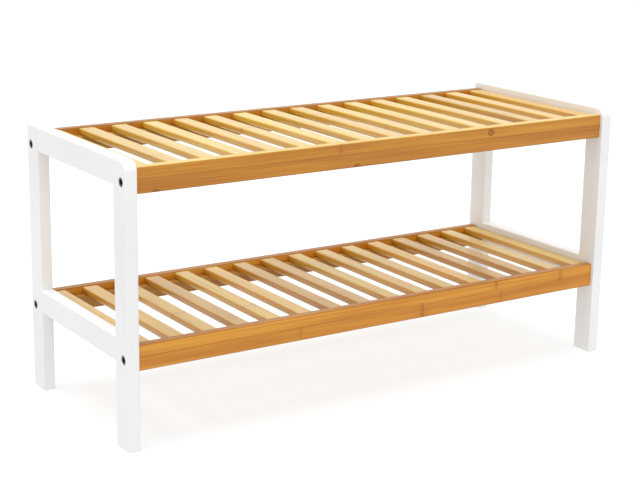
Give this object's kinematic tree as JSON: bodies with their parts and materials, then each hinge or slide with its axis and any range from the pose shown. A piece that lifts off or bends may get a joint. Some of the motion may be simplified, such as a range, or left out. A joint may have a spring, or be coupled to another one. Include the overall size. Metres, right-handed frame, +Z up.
{
  "type": "entryway bench",
  "caption": "Low two-tier entryway bench: white painted end frames carry two slatted bamboo shelves, one to sit on and one for shoes.",
  "frame": {"origin": "on the floor, under the middle of the bench", "axes": "+X along the bench from the left end frame to the right one, +Y from the front to the back, +Z up"},
  "size_m": [0.7, 0.262, 0.33],
  "materials": {
    "white_paint": "satin white paint on wood",
    "bamboo_rail": "satin lacquered carbonised bamboo",
    "bamboo_ledger": "satin lacquered carbonised bamboo",
    "bamboo_slat": "satin lacquered natural bamboo",
    "black_steel": "black, assumed to be coated steel",
    "zinc_steel": "zinc plated",
    "beech": "bare turned beech"
  },
  "bodies": {
    "root": {"left_front_post": "white_paint", "left_rear_post": "white_paint", "left_top_rail": "white_paint", "left_lower_rail": "white_paint", "right_front_post": "white_paint", "right_rear_post": "white_paint", "right_top_rail": "white_paint", "right_lower_rail": "white_paint", "upper_front_rail": "bamboo_rail", "upper_back_rail": "bamboo_rail", "lower_front_rail": "bamboo_rail", "lower_back_rail": "bamboo_rail", "upper_front_ledger": "bamboo_ledger", "upper_back_ledger": "bamboo_ledger", "lower_front_ledger": "bamboo_ledger", "lower_back_ledger": "bamboo_ledger", "upper_slat_01": "bamboo_slat", "upper_slat_02": "bamboo_slat", "upper_slat_03": "bamboo_slat", "upper_slat_04": "bamboo_slat", "upper_slat_05": "bamboo_slat", "upper_slat_06": "bamboo_slat", "upper_slat_07": "bamboo_slat", "upper_slat_08": "bamboo_slat", "upper_slat_09": "bamboo_slat", "upper_slat_10": "bamboo_slat", "upper_slat_11": "bamboo_slat", "upper_slat_12": "bamboo_slat", "upper_slat_13": "bamboo_slat", "upper_slat_14": "bamboo_slat", "upper_slat_15": "bamboo_slat", "upper_slat_16": "bamboo_slat", "lower_slat_01": "bamboo_slat", "lower_slat_02": "bamboo_slat", "lower_slat_03": "bamboo_slat", "lower_slat_04": "bamboo_slat", "lower_slat_05": "bamboo_slat", "lower_slat_06": "bamboo_slat", "lower_slat_07": "bamboo_slat", "lower_slat_08": "bamboo_slat", "lower_slat_09": "bamboo_slat", "lower_slat_10": "bamboo_slat", "lower_slat_11": "bamboo_slat", "lower_slat_12": "bamboo_slat", "lower_slat_13": "bamboo_slat", "lower_slat_14": "bamboo_slat", "lower_slat_15": "bamboo_slat", "lower_slat_16": "bamboo_slat", "left_bolts": "black_steel", "right_bolts": "black_steel", "left_inserts": "zinc_steel", "right_inserts": "zinc_steel", "left_dowels": "beech", "right_dowels": "beech", "upper_slat_pins": "zinc_steel", "lower_slat_pins": "zinc_steel"}
  },
  "joints": []
}
